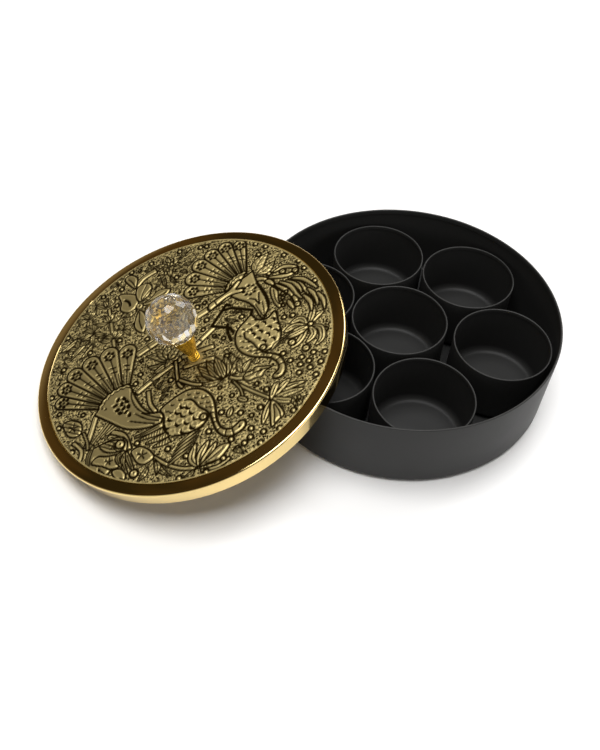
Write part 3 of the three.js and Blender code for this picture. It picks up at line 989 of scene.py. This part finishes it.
def draw_left_bird(relief):
    """The left bird: its tail, skirt and side feathers, then its body, neck, head and legs."""
    hub = (-44, -30)
    feet = fan(relief, hub, [151, 139.5, 127, 113.5, 98.5, 83], [51.9, 56.2, 57.9, 56.7, 55.4, 51.8], 18.5)
    inner_side = curve((-36.5, -24), (-33, -33), (-28, -39.5), (-22, -41.5), (-20.5, -45))
    outer_side = curve((-23, -49), (-33, -49), (-45, -44.5), (-55, -35), (-64, -26))
    held = relief.figure(np.vstack([feet, inner_side, outer_side]), 1.3)
    relief.cut(second_line(feet, hub, 2.4), 0.8, held)
    folds = (
        ((-38.5, -15), (-39, -25), (-35.5, -34), (-29, -40)),
        ((-38, -36), (-31, -43), (-24, -47)),
        ((-34, -37), (-28, -42), (-22, -46)),
        ((-42, -40), (-35, -44), (-27, -48)),
    )
    relief.cuts(*folds, width=0.8, held=held)
    sprig = (
        (-48, -21, 60), (-44, -21.5, 120), (-50, -24.5, 20), (-46, -25, 80), (-42.3, -24.5, 140),
        (-49, -28.5, 0), (-45, -28.5, 50), (-41.8, -28.5, 100), (-47.5, -31.5, 160), (-43.5, -32, 30),
        (-41.7, -35, 70),
    )
    for across, up, turn in sprig:
        middle = np.array((across, up))
        relief.sink(ribbon(curve(middle - ray(turn, 1.9), middle, middle + ray(turn, 1.9)), 1.4, 2.9, 1.4))
    relief.dot((-56.5, -24.5), 0.8)
    blades(relief, (1.2, 3.2, 3.4), 1, ((-40, -53), (-31, -52.5), (-21, -50.5)))
    for number in range(3):
        lift = -4.2 * number
        band = curve((-38 + 4 * number, -56 + lift), (-28 + 2 * number, -55.5 + lift), (-19, -54.5 + lift))
        relief.hatch(relief.figure(ribbon(band, 1, 3.6, 3.8), 0.8), 62, 1.5)
    for number in range(5):
        start = np.array((2 - 2.2 * number, -61.5 - 3 * number))
        blades(relief, (0.8, 1.9, 0.8), 0.7, (start, start + (-9, -3.5), start + (-17, -7.5)), split=False)
    outline = (
        (-22, -39.5), (-15, -35.5), (-8, -33), (-2, -32.3), (4, -34.5), (8, -38.5), (10.5, -43.5),
        (11.3, -50), (10.8, -57), (11, -63), (13, -68), (17, -70.2), (20.5, -69.3), (24, -67.3),
        (26.7, -68.5), (26.2, -72), (21.5, -74.8), (16, -75.2), (12, -73), (9, -68), (7.8, -61), (7, -55),
        (4, -59.5), (-2, -62.5), (-10, -63), (-17, -61), (-21.5, -55), (-20.8, -48), (-20.8, -44),
    )
    wing = ((7, -55), (5, -51.5), (1.5, -47.5), (-0.5, -43), (-3, -39.8), (-6.5, -39.2))
    fold = ((-20.5, -50), (-14, -46.2), (-8.5, -41.5))
    scales = (
        (-18.5, -60), (-19.8, -54), (-17, -49.3), (-10.5, -61), (-13, -54.5), (-12, -46), (-4.5, -60),
        (-7.5, -55.5), (-9, -49.5), (-8.5, -43), (-1.8, -54.5), (-3.5, -49.5), (-5, -45),
    )
    nicks = (
        (-18, -42), (-14, -38.8), (-9, -37), (-15.5, -44), (-3, -35.5), (1, -39.5), (2.5, -36.8),
        (5, -41.5), (7.5, -41.5), (3.5, -45), (7.5, -46), (9, -50), (6.5, -49), (8.8, -54), (9, -58),
    )
    joints = (
        ((8, -62), (11, -62)), ((9.5, -68.5), (12.5, -66.5)), ((13.5, -73.5), (15, -70)),
        ((18.5, -75), (18.5, -70.5)),
    )
    bird(relief, outline, wing, fold, 220, scales, nicks, joints, eye=(22.7, -71))
    relief.bead((3, -55.5), 2.2)
    for leg in (((-8, -6), (-8.5, -24), (-6, -29)), ((-8, -22), (0, -29), (6, -32))):
        relief.figure(ribbon(curve(*leg), 2.6, 2.6), 1.2)


def draw_plume(relief):
    """The curling blades behind the right bird, with small beads between them."""
    plume = (
        ((50, 38), (58, 36), (64, 30)),
        ((66, 38), (74, 39.5), (81, 35), (80, 29)),
        ((62, 35), (70, 32), (77, 31), (80, 35)),
        ((76, 27), (83, 23), (88, 15), (90, 11)),
        ((74, 27), (80, 20), (83, 12), (86, 4)),
        ((72, 27), (78, 20), (80, 12)),
        ((84, 14), (87, 6), (87, -3)),
        ((80, 10), (83, 2), (82, -6)),
        ((68, 28), (74, 21), (76.5, 12), (79, 7)),
        ((65, 27), (70, 20), (73, 14), (73.5, 9)),
        ((63, 26), (66, 19), (69, 14)),
        ((89, 8), (91, 0), (90, -8)),
        ((74, 12), (75, 7), (75, 2)),
        ((70, 10), (71, 5), (72, 1)),
    )
    blades(relief, (1.6, 3.6, 3.0, 1.4), 1.2, *plume, split=False)
    scallop(relief, (62, 26), (65.5, 21), (64.5, 13), (66, 7), (63, 6.5), (61, 12), (60.5, 20))
    relief.cuts(((63, 23), (62.5, 15), (64, 9)))
    for centre in ((75, 4), (80, 33), (72, 36)):
        relief.bead(centre, 1.9)
    for centre in ((68, 17), (67.3, 13.3), (65.5, 10), (66.2, 7), (70.5, 17.5)):
        relief.bead(centre, 0.9)


def draw_right_bird(relief):
    """The right bird, built up as the left one, with a plume behind it and a forked branch on its tail."""
    hub = (47, 33)
    feet = fan(relief, hub, [158.5, 142.5, 127, 113, 100, 87], [45, 48.6, 51.2, 51, 49.8, 46], 14.8)
    leaf(relief, (54, 41), (67.5, 58), 9, bend=2.5, veins=4, line=1)
    leaf(relief, (55, 41), (69.5, 48), 7, bend=-1.5, veins=3, line=1)
    draw_plume(relief)
    inner_side = curve((35.5, 30), (40, 25), (45, 20), (48.5, 13), (50, 6), (52, 1.5))
    outer_side = curve((56.5, 8.5), (58, 14), (57.5, 22), (55.5, 30), (54, 36), (53.5, 46))
    held = relief.figure(np.vstack([feet, inner_side, outer_side]), 1.4)
    relief.cut(second_line(feet, hub, 2.3), 0.8, held)
    relief.cut(curve((54, 34), (56, 25), (57.3, 17), (57, 9)), 2, held)
    relief.cuts(((46.5, 22.5), (50, 20), (52, 15)), ((53.5, 25), (52.5, 20), (52, 15)), width=1, held=held)
    relief.cuts(((49.5, 16), (51.3, 8), (52.5, 4), (53.6, 8), (54, 16)), held=held)
    for turn in range(0, 360, 45):
        relief.dot(np.array((48, 30)) + ray(turn, 4), 1.2, held)
    for spot in ((37, 40), (48.5, 43), (48, 31.5), (46.5, 29), (49.7, 29)):
        relief.dot(spot, 0.6, held)
    fork = (
        (20, 24.8), (30, 29.7), (36, 31.5), (42, 30.8), (44.6, 32.2), (43.8, 34), (39.8, 35.2), (42, 38),
        (44.3, 40.8), (43, 42.3), (40, 41), (35.5, 36.8), (30, 34.3), (20, 30.3),
    )
    relief.cut([(25, 27.5), (24, 31.5)], 0.6, relief.figure(curve(*fork, closed=True), 1.5))
    scallop(relief, (59, 33), (62.5, 33.3), (64.8, 30), (64, 26.5), (60.5, 29.5), line=1.4)
    outline = (
        (45, 8.5), (40, 5), (35.5, 1.5), (32.5, -3), (31.3, -9), (32, -15), (35, -20.5), (40, -25),
        (46, -28), (50.5, -31), (53.3, -36), (53, -40.5), (49.5, -43), (48.3, -45.2), (50.5, -47),
        (54.5, -46), (57.2, -42), (57.4, -36.5), (55.5, -31), (51.5, -27.3), (47.5, -24.6), (53, -23),
        (58.5, -19), (60.5, -12), (60.5, -3), (60.5, 5), (55, 1.5), (51, 1.5), (47.5, 3.8),
    )
    wing = ((47.5, -24.6), (43.8, -20), (42, -15), (39.5, -11), (37.8, -8), (38, -4))
    fold = ((40.5, -3), (46, -1), (51, 1.2))
    scales = (
        (59.5, -6.5), (57.5, -1.5), (57.5, -11.5), (54.5, -17), (54, -7), (51.5, -1.8), (52, -12),
        (48.5, -16.5), (48, -7.8), (46.5, -3), (45.5, -13), (43, -8), (42, -4),
    )
    nicks = (
        (46, 2.5), (42, 0.8), (37.5, -1.8), (39.5, -4.5), (34.5, -6.3), (35.5, -11.5), (34, -15.5),
        (38.5, -13), (37, -17.5), (40, -17.5), (38.5, -20.5), (42, -21.5), (41.5, -24), (45, -24.5),
        (45.5, -26.5),
    )
    joints = (
        ((47.5, -28.5), (49, -26)), ((50, -30.5), (52.5, -28)), ((52.5, -34), (56, -32)),
        ((53.5, -38), (57, -37)),
    )
    bird(relief, outline, wing, fold, 35, scales, nicks, joints, eye=(51.7, -44))
    relief.bead((47.3, -20.5), 1.9)
    for number in range(5):
        start = np.array((60.5 - number * 2.2, -21.5 - number * 0.9))
        blades(relief, (1.2, 1.8, 0.6), 0.6, (start, start + (3, 3.5), start + (7, 5.5)), split=False)
    legs = (
        ((19, 11.5), (31, 25), (33.5, 23)),
        ((28, 21), (34, 20.5), (46.5, 12.5), (45, 9)),
        ((19, 11), (30, 4.5), (31.5, 0)),
        ((29, 8), (28, 1), (29, -6)),
    )
    for leg in legs:
        relief.cut(leg, 2.2)
    relief.cuts(((22, 11), (31.5, 21)), ((33, 18), (43, 11.5)), width=0.5)
    # The figures within the fan's reach are made brighter.
    reach_of_fan = 53
    relief.brighten(circle(hub, reach_of_fan, steps=60), share=0.55)


LOOSE_BEADS = 450
GOLDEN_ANGLE = 137.5
FILLED_RADIUS = 90


def draw_loose_beads(relief):
    """Beads of three sizes, spread evenly over the ground that is still bare."""
    for number in range(LOOSE_BEADS):
        spot = ray(GOLDEN_ANGLE * number, FILLED_RADIUS * math.sqrt(number / LOOSE_BEADS))
        if relief.free(spot, 2):
            relief.bead(spot, 0.8 + 0.3 * (number % 3))


def draw_pattern(relief):
    draw_branches(relief)
    draw_left_top(relief)
    draw_top(relief)
    draw_gaps(relief)
    draw_lotus(relief)
    draw_lower_right(relief)
    draw_lower_left(relief)
    draw_left_bird(relief)
    draw_right_bird(relief)
    draw_loose_beads(relief)


def disc_points(cells, radius):
    """A square grid of points laid evenly over a disc."""
    line = np.linspace(-1, 1, cells + 1)
    across, along = np.meshgrid(line, line, indexing="ij")
    wide = np.abs(across) > np.abs(along)
    reach = np.where(wide, across, along)
    eighth = math.pi / 4
    with np.errstate(divide="ignore", invalid="ignore"):
        turn = np.where(wide, eighth * along / across, 2 * eighth - eighth * across / along)
    turn = np.nan_to_num(turn)
    return np.stack([reach * np.cos(turn), reach * np.sin(turn)], -1) * radius


# Operators


def finish_piece(piece, body, node):
    """Puts a piece on its body, in place of its solid."""
    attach(piece, body)
    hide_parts(node)


class SPICE_OT_stage(Operator):
    """Set up the floor, the lights and the camera"""

    bl_idname = "spice.stage"
    bl_label = "Stage"

    def execute(self, context):
        stage = context.scene.spice_stage
        half = stage.floor_size / 2
        finish = new_finish("floor_paper")
        paper = finish.surface(
            Base_Color=finish.blend(finish.noise(3, 2), stage.floor, toned(stage.floor, 0.985)),
            Roughness=0.9,
        )
        corners = [(-half, -half, 0), (half, -half, 0), (half, half, 0), (-half, half, 0)]
        new_piece("floor", corners, [(0, 1, 2, 3)], paper)
        self.light(context, "key_light", place=(0.95, 0.85, 1.45), size=0.9, power=stage.key)
        self.light(context, "top_light", place=(-0.1, 0.0, 1.9), size=1.3, power=stage.top)
        self.light(context, "fill_light", place=(0.7, -0.8, 0.4), size=0.5, power=stage.fill)
        self.sky(context, stage)
        self.camera(context, stage)
        context.scene.view_settings.view_transform = "Standard"
        return {"FINISHED"}

    def light(self, context, name, place, size, power):
        """A square lamp that is turned towards the tin and the lid."""
        aim = Vector((-0.05, 0, 0))
        lamp = bpy.data.lights.new(name, "AREA")
        lamp.shape = "SQUARE"
        lamp.size = size
        lamp.energy = power
        holder = bpy.data.objects.new(name, lamp)
        holder.location = place
        holder.rotation_euler = (aim - Vector(place)).to_track_quat("-Z", "Y").to_euler()
        context.collection.objects.link(holder)

    def sky(self, context, stage):
        """A studio that is dark brown above, and pale near the floor in front."""
        world = bpy.data.worlds.new("studio")
        context.scene.world = world
        finish = Finish(world)
        ahead = finish.add("ShaderNodeTexCoord", {}, {}, output="Generated")
        rise = finish.add("ShaderNodeSeparateXYZ", {}, {"Vector": ahead}, output="Z")
        away = finish.add("ShaderNodeSeparateXYZ", {}, {"Vector": ahead}, output="Y")
        low = finish.blend(finish.ramp(away + 0.5, (0.3, 0.0), (0.7, 1.0)), stage.front, stage.back)
        beams = finish.ramp(finish.noise(5, 3, 0.6, ahead), (0.45, 0.0), (0.6, 1.0))
        wall = finish.blend(beams, stage.wall, stage.beam)
        around = finish.blend(finish.ramp(rise, (0.48, 0.0), (0.515, 1.0)), low, wall)
        glow = finish.add("ShaderNodeBackground", {}, {"Color": around, "Strength": 1.0})
        finish.add("ShaderNodeOutputWorld", {}, {"Surface": glow})

    def camera(self, context, stage):
        """The camera, turned by its right, up and backward directions."""
        lens = bpy.data.cameras.new("camera")
        lens.lens = stage.lens
        lens.clip_end = 50
        camera = bpy.data.objects.new("camera", lens)
        right = (0.97567, -0.21717, 0.03016)
        up = (0.14601, 0.7462, 0.64951)
        back = (-0.16356, -0.6293, 0.75976)
        turn = Matrix((right, up, back)).transposed().to_4x4()
        camera.matrix_world = Matrix.Translation(stage.camera_at) @ turn
        context.collection.objects.link(camera)
        context.scene.camera = camera


class SPICE_OT_tin(Operator):
    """Make the open tin"""

    bl_idname = "spice.tin"
    bl_label = "Tin"

    def execute(self, context):
        sizes = context.scene.spice_tin
        tin = vessel("tin", sizes, powder_coat("tin_coat", sizes.coat, sizes.wear_and_highlight), steps=256)
        finish_piece(tin, "box", "box_shell")
        return {"FINISHED"}


class SPICE_OT_cups(Operator):
    """Make the loose cups, each where its solid stands"""

    bl_idname = "spice.cups"
    bl_label = "Cups"

    def execute(self, context):
        tin, sizes = context.scene.spice_tin, context.scene.spice_cup
        coat = powder_coat("cup_coat", tin.coat, tin.wear_and_highlight)
        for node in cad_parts:
            if "cup" in node:
                middle = middle_of(node)
                place = Matrix.Translation((middle.x, middle.y, middle.z - size_of(node).z / 2))
                cup = vessel(node + "_pressed", sizes, coat, steps=128, place=place)
                finish_piece(cup, node, node)
        return {"FINISHED"}


class SPICE_OT_lid_pan(Operator):
    """Make the lid's spun pan, with its recess, bead and skirt"""

    bl_idname = "spice.lid_pan"
    bl_label = "Lid pan"

    def execute(self, context):
        lid, sheet = context.scene.spice_lid, context.scene.spice_sheet
        outside = lid.skirt_inside + lid.sheet
        bead = (outside + lid.proud - lid.bead, -lid.bead)
        bead_start = -math.degrees(math.acos((outside - bead[0]) / lid.bead))
        corner = (lid.skirt_inside - lid.corner, -lid.sheet - lid.corner)
        edge = (lid.skirt_inside + lid.sheet / 2, -lid.depth + lid.sheet / 2)
        recess = sheet.radius + SEAT_GAP
        underside = -lid.recess - lid.sheet
        profile = [
            (0, underside),
            (recess + lid.sheet, underside),
            (recess + lid.sheet, -lid.sheet),
            *arc(corner, lid.corner, 90, 0, 8),
            *arc(edge, lid.sheet / 2, 180, 360, 12),
            *arc(bead, lid.bead, bead_start, 90, 24),
            (recess + lid.bevel, 0),
            (recess, -lid.bevel),
            (recess, -lid.recess),
            (0, -lid.recess),
        ]
        gold = polished_gold("pan_gold", lid.gold, dullest=0.1)
        pan = spun("lid_pan", profile, gold, steps=320, place=lid_place())
        finish_piece(pan, "lid", "lid_shell")
        return {"FINISHED"}


class SPICE_OT_sheet(Operator):
    """Make the embossed sheet with its birds and flowers"""

    bl_idname = "spice.sheet"
    bl_label = "Embossed sheet"

    def execute(self, context):
        lid, sheet, knob = context.scene.spice_lid, context.scene.spice_sheet, context.scene.spice_knob
        flat = disc_points(sheet.cells, sheet.radius).reshape(-1, 2)
        relief = Relief(flat / MM)
        draw_pattern(relief)
        foot = np.array((knob.up_slope, -knob.towards_front))
        from_foot = np.linalg.norm(flat - foot, axis=1) - knob.foot
        from_edge = sheet.radius - np.linalg.norm(flat, axis=1)
        round_foot, margin = 0.8 * MM, 0.5 * MM
        shown = np.clip((from_foot - round_foot) / MM, 0, 1) * np.clip((from_edge - margin) / margin, 0, 1)
        flat_rise, rubbed_rise, groove_fall = 0.55, 0.25, 0.3
        raised = relief.height * (flat_rise + rubbed_rise * relief.rubbed) * (1 - relief.groove)
        height = raised - groove_fall * relief.groove
        top = -lid.recess + SEAT_GAP + sheet.thickness
        piece = self.disc(sheet, flat, top + height * shown * sheet.relief, top - sheet.thickness)
        # Where the relief is not shown the tone is plain and pale: along the sheet's edge this pale line is a
        # painted highlight on the edge, and round the knob's foot it is a plain flat ring.
        flat_tone, rubbed_tone, plain_and_highlight_tone, hidden_tone = 0.56, 0.44, 0.9, 0.6
        tone = (flat_tone + rubbed_tone * relief.rubbed) * (1 - relief.groove)
        tone = plain_and_highlight_tone + shown * (tone - plain_and_highlight_tone)
        below = len(piece.data.vertices) - len(flat)
        keep_reading(piece, "tone", np.concatenate([tone, np.full(below, hidden_tone)]))
        bare = relief.ground * (1 - relief.groove) * shown
        keep_reading(piece, "ground", np.concatenate([bare, np.zeros(below)]))
        finish_piece(piece, "lid", "embossed_plate")
        return {"FINISHED"}

    def disc(self, sheet, flat, rise, underside):
        """The embossed top, a straight edge and a flat underside."""
        rows = np.arange(len(flat)).reshape(sheet.cells + 1, sheet.cells + 1)
        quads = np.stack([rows[:-1, :-1], rows[1:, :-1], rows[1:, 1:], rows[:-1, 1:]], -1).reshape(-1, 4)
        edge = np.concatenate([rows[:-1, 0], rows[-1, :-1], rows[:0:-1, -1], rows[0, :0:-1]])
        points = np.column_stack([flat, rise])
        lower = np.column_stack([flat[edge], np.full(len(edge), underside)])
        under = np.arange(len(edge)) + len(flat)
        wall = np.stack([edge, under, np.roll(under, -1), np.roll(edge, -1)], 1)
        faces = quads.tolist() + wall.tolist() + [under[::-1].tolist()]
        material = antique_gold("sheet_gold", sheet.raised, sheet.sunken)
        points = np.vstack([points, lower]).tolist()
        return new_piece("embossed_sheet", points, faces, material, lid_place(), crease=60)


class SPICE_OT_knob(Operator):
    """Make the ferrule and finish the crystal ball, the screw and the washer"""

    bl_idname = "spice.knob"
    bl_label = "Knob"

    def execute(self, context):
        lid, sheet, knob = context.scene.spice_lid, context.scene.spice_sheet, context.scene.spice_knob
        on_sheet = -lid.recess + SEAT_GAP + sheet.thickness + SEAT_GAP
        place = knob_place() @ Matrix.Translation((0, 0, on_sheet))
        gold = polished_gold("ferrule_gold", knob.gold, dullest=0.04, brightest=0.2, metallic=0.85)
        ferrule = spun("ferrule", self.profile(knob), gold, steps=96, place=place)
        finish_piece(ferrule, "lid", "knob_ferrule")
        zinc = zinc_plate("screw_zinc", knob.zinc)
        finishes = {
            "crystal_ball": cut_crystal("crystal_glass", knob.crystal, knob.painted_dark_facets, knob.painted_warm_facets, knob.painted_cool_facets),
            "knob_screw": zinc,
            "knob_washer": zinc,
        }
        for node, material in finishes.items():
            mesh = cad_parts[node].data
            mesh.materials.clear()
            mesh.materials.append(material)
        return {"FINISHED"}

    def profile(self, knob):
        """Bore, foot, rings, a cone that opens to the lip, and a round seat for the ball."""
        seat = size_of("crystal_ball").y / 2 + SEAT_GAP
        foot_edge = knob.foot_height / 2
        neck_below_ring = 0.3 * MM
        below_rings = knob.first_ring - knob.ring - neck_below_ring
        mouth = knob.lip - knob.lip_sheet
        seat_middle = knob.lip_height + math.sqrt(seat**2 - mouth**2)
        seat_turn = math.degrees(math.asin(mouth / seat))
        lip = (knob.lip - knob.lip_sheet / 2, knob.lip_height - knob.lip_sheet / 2)
        share = np.linspace(0, 1, 17)
        starts, belly, ends = (1 - share) ** 2, 2 * share * (1 - share), share**2
        middle_height = (knob.waist_height + knob.lip_height) / 2
        cone_radius = starts * knob.waist + belly * knob.belly + ends * knob.lip
        cone_top = knob.lip_height - knob.lip_sheet
        cone_height = starts * knob.waist_height + belly * middle_height + ends * cone_top
        rings = [
            point
            for number in range(2)
            for point in arc((knob.neck, knob.first_ring + number * knob.ring_pitch), knob.ring, -90, 90, 10)
        ]
        return [
            (0, knob.bore_depth),
            (knob.bore, knob.bore_depth),
            (knob.bore, 0),
            (knob.foot - foot_edge, 0),
            *arc((knob.foot - foot_edge, foot_edge), foot_edge, -60, 90, 10),
            (knob.neck, below_rings),
            *rings,
            *zip(cone_radius, cone_height),
            *arc(lip, knob.lip_sheet / 2, 0, 90, 6),
            *arc((0, seat_middle), seat, -90 + seat_turn, -90, 12),
        ]


class SPICE_PT_panel(Panel):
    """Lists the operators for the stage and for the pieces of the spice box"""

    bl_idname = "SPICE_PT_panel"
    bl_label = "Spice box"
    bl_space_type = "VIEW_3D"
    bl_region_type = "UI"
    bl_category = "Spice box"

    def draw(self, context):
        for operator in OPERATORS:
            self.layout.operator(operator.bl_idname)


OPERATORS = (SPICE_OT_stage, SPICE_OT_tin, SPICE_OT_cups, SPICE_OT_lid_pan, SPICE_OT_sheet, SPICE_OT_knob)
SETTINGS = {
    "spice_stage": StageSettings,
    "spice_tin": TinSettings,
    "spice_cup": CupSettings,
    "spice_lid": LidSettings,
    "spice_sheet": SheetSettings,
    "spice_knob": KnobSettings,
}


def register():
    for settings in SETTINGS.values():
        bpy.utils.register_class(settings)
    for name, settings in SETTINGS.items():
        setattr(bpy.types.Scene, name, PointerProperty(type=settings))
    for kind in (*OPERATORS, SPICE_PT_panel):
        bpy.utils.register_class(kind)


def unregister():
    for kind in (SPICE_PT_panel, *reversed(OPERATORS)):
        bpy.utils.unregister_class(kind)
    for name, settings in reversed(SETTINGS.items()):
        delattr(bpy.types.Scene, name)
        bpy.utils.unregister_class(settings)


def main():
    register()
    bpy.ops.spice.stage()
    bpy.ops.spice.tin()
    bpy.ops.spice.cups()
    bpy.ops.spice.lid_pan()
    bpy.ops.spice.sheet()
    bpy.ops.spice.knob()
    bpy.context.view_layer.update()


if __name__ == "__main__":
    main()
